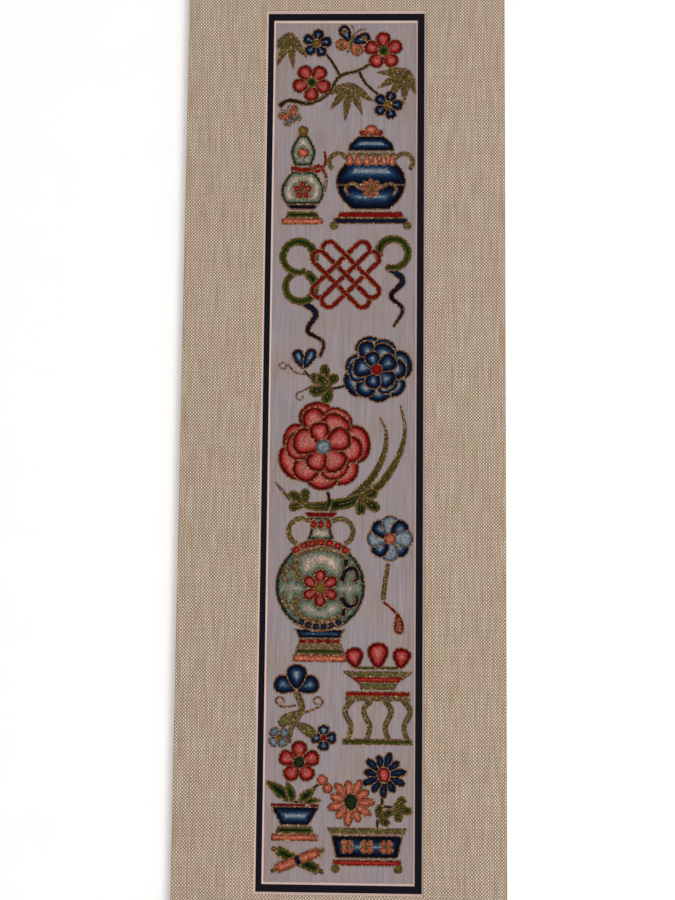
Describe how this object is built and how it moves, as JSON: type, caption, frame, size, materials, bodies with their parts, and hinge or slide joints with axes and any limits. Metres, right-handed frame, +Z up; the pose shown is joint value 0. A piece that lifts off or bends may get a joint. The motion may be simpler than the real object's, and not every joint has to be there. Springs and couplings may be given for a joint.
{
  "type": "embroidered sleeve band in window mount",
  "caption": "Long narrow silk sleeve band with knot-stitched flowers and vessels outlined in gold thread, held flat under a double window mount.",
  "frame": {"origin": "middle of the backing board's underside", "axes": "+X across the band to the right, +Y along it to its top end, +Z up out of the embroidered face"},
  "size_m": [0.203, 0.66, 0.0078],
  "materials": {
    "board": "matte cream mat board with a bevelled cut",
    "navy_paper": "matte dark navy facing paper",
    "linen": "plain woven tan linen",
    "silk_ground": "fine pale silk gauze",
    "red_silk": "knot-stitched silk floss, shaded towards the edge",
    "coral_silk": "knot-stitched silk floss, shaded towards the edge",
    "navy_silk": "knot-stitched silk floss, shaded towards the edge",
    "blue_silk": "knot-stitched silk floss, shaded towards the edge",
    "celadon_silk": "knot-stitched silk floss, shaded towards the edge",
    "green_silk": "knot-stitched silk floss, shaded towards the edge",
    "olive_silk": "knot-stitched silk floss, shaded towards the edge",
    "gold_thread": "couched gold-wrapped thread"
  },
  "bodies": {
    "root": {"backing_board": "board", "inner_mat": "board", "inner_mat_facing": "navy_paper", "outer_mat": "board", "linen_facing": "linen", "band_ground": "silk_ground", "plum_red_high": "red_silk", "plum_red_low": "red_silk", "plum_navy_high": "navy_silk", "plum_navy_low": "navy_silk", "butterfly_high": "blue_silk", "plum_branch": "green_silk", "bamboo_right": "olive_silk", "bamboo_left": "olive_silk", "bamboo_middle": "olive_silk", "gourd_ribbon": "coral_silk", "gourd_low": "celadon_silk", "gourd_high": "celadon_silk", "gourd_stand": "olive_silk", "butterfly_low": "coral_silk", "jar_knob": "coral_silk", "jar_lid": "navy_silk", "jar_collar": "coral_silk", "jar_body": "navy_silk", "jar_stand": "red_silk", "knot_lattice": "red_silk", "knot_ribbon_left": "green_silk", "knot_ribbon_right": "olive_silk", "peony_blue": "navy_silk", "peony_blue_bud": "blue_silk", "peony_blue_leaves": "green_silk", "peony_red": "red_silk", "peony_red_leaves": "green_silk", "flask_flower": "red_silk", "flask_collar": "coral_silk", "flask_body": "celadon_silk", "flask_neck": "celadon_silk", "flask_foot": "navy_silk", "fan_leaf": "blue_silk", "fan_handle": "gold_thread", "fan_tassel": "red_silk", "peaches": "red_silk", "dish": "olive_silk", "dish_stand": "gold_thread", "cloud_head": "navy_silk", "cloud_stem": "olive_silk", "bowl_red_flower": "red_silk", "bowl_navy_flower": "navy_silk", "bowl_pale_flower": "blue_silk", "bowl_leaves": "green_silk", "bowl": "navy_silk", "bowl_stand": "olive_silk", "scroll_pair": "green_silk", "daisy_navy": "navy_silk", "daisy_coral": "coral_silk", "daisy_stem": "green_silk", "planter_rim": "gold_thread", "planter_side": "blue_silk", "planter_foot": "coral_silk"}
  },
  "joints": []
}
